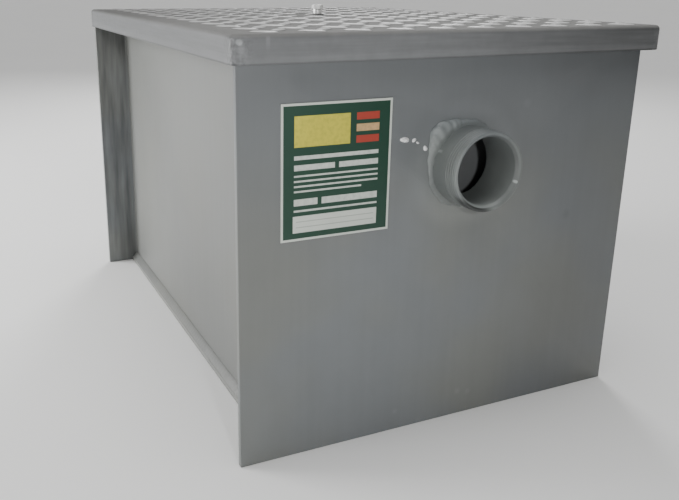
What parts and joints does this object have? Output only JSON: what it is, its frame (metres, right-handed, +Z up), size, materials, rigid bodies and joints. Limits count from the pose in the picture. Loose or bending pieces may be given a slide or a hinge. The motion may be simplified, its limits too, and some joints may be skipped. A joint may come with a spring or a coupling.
{
  "type": "grease trap",
  "caption": "Welded steel grease trap: a box tank with a pipe stub at each end, lift-out baffles inside and a folded tread plate cover held by a bolt.",
  "frame": {"origin": "on the floor under the middle of the cover, midway between the two pipe mouths", "axes": "+Z up, +Y from the inlet end to the outlet end along the tank, +X to the right seen from the inlet end"},
  "size_m": [0.4772, 0.6984, 0.419],
  "materials": {
    "shell_enamel": "grey enamel, satin",
    "tread_enamel": "grey enamel over tread plate, lugs rubbed lighter",
    "inner_enamel": "dark grey enamel inside the tank",
    "zinc": "bright zinc plating",
    "gasket_rubber": "black rubber",
    "label_green": "green printed label with a pale border"
  },
  "bodies": {
    "root": {"inlet_end_plate": "shell_enamel", "outlet_end_plate": "shell_enamel", "left_side_wall": "shell_enamel", "right_side_wall": "shell_enamel", "floor_plate": "shell_enamel", "inlet_rim_bar": "shell_enamel", "outlet_rim_bar": "shell_enamel", "inlet_nipple": "shell_enamel", "outlet_nipple": "shell_enamel", "cover": "tread_enamel", "gasket": "gasket_rubber", "seal_washer": "gasket_rubber", "bolt_collar": "zinc", "hold_down_bolt": "zinc", "hold_down_nut": "zinc", "hold_down_bar": "inner_enamel", "inlet_baffle": "inner_enamel", "outlet_baffle": "inner_enamel", "inlet_guide_left": "inner_enamel", "inlet_guide_right": "inner_enamel", "outlet_guide_left": "inner_enamel", "outlet_guide_right": "inner_enamel", "data_label": "label_green"}
  },
  "joints": []
}
